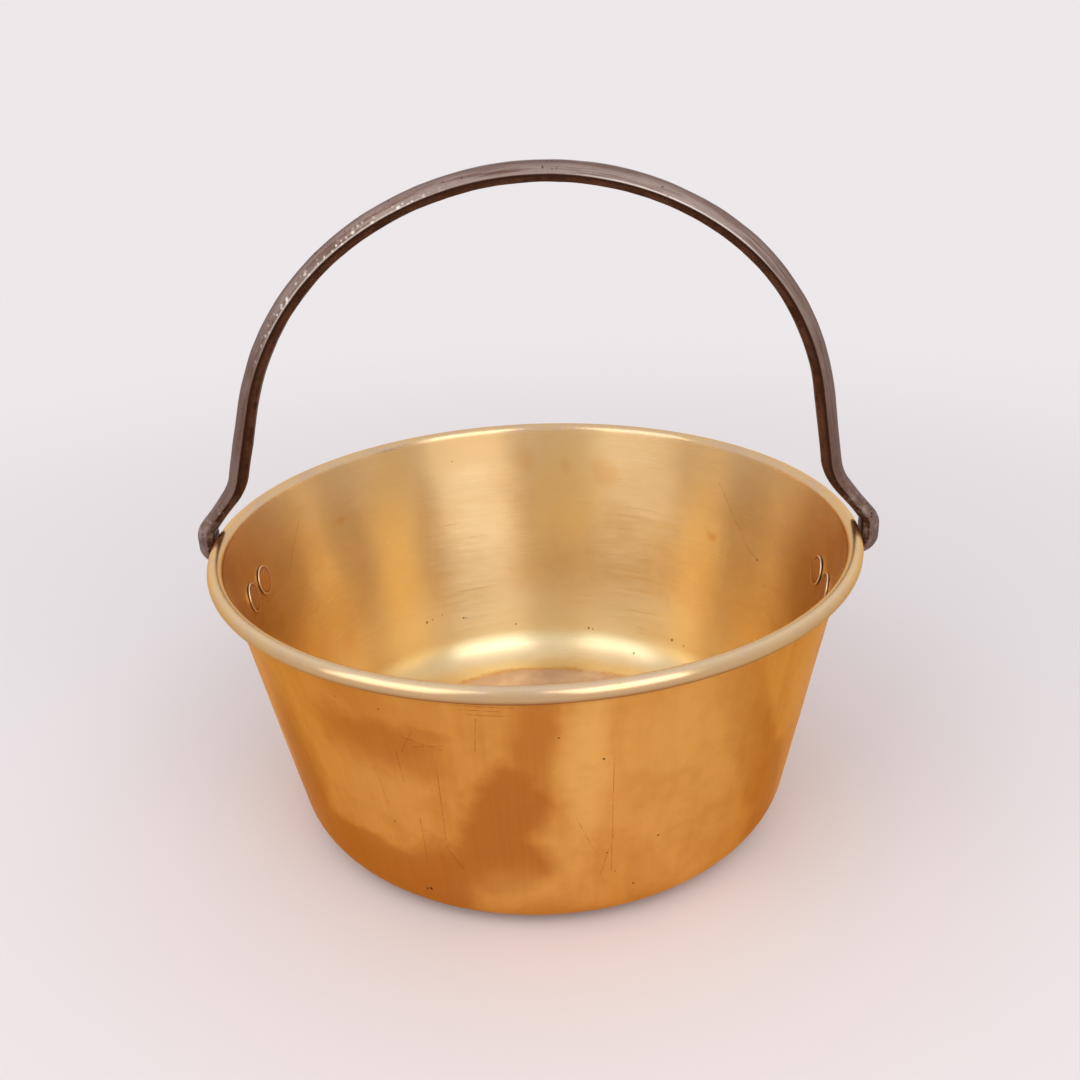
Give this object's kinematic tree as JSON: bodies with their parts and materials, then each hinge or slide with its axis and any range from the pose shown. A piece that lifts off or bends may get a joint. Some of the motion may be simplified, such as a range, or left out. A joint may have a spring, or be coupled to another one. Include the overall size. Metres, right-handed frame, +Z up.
{
  "type": "preserving pan",
  "caption": "Brass preserving pan with a flat base, tapered wall, wired rolled rim, riveted iron ears and a swinging forged bail handle.",
  "frame": {"origin": "centre of the base on the surface that the pan stands on", "axes": "+Z up, +X through both ear eyes along the axis that the bail swings about, -Y is the front"},
  "size_m": [0.3402, 0.3184, 0.3199],
  "materials": {
    "brass": "polished and hand-worn, brushed round inside, scratched and tarnished outside",
    "wire_iron": "bare drawn iron wire",
    "forged_iron": "dark forged scale, brown patina, worn grey on the edges",
    "copper": "hammered copper, dull"
  },
  "bodies": {
    "pan": {"pan_bowl": "brass", "rim_wire": "wire_iron", "ear_left": "forged_iron", "ear_right": "forged_iron", "rivet_left_front": "copper", "rivet_left_rear": "copper", "rivet_right_front": "copper", "rivet_right_rear": "copper"},
    "bail": {"bail_handle": "forged_iron"}
  },
  "joints": [
    {"name": "bail_swing", "type": "hinge", "parent": "pan", "child": "bail", "pos_m": [0, 0, 0.1312], "axis": [1, 0, 0], "range_deg": [-32, 32]}
  ]
}
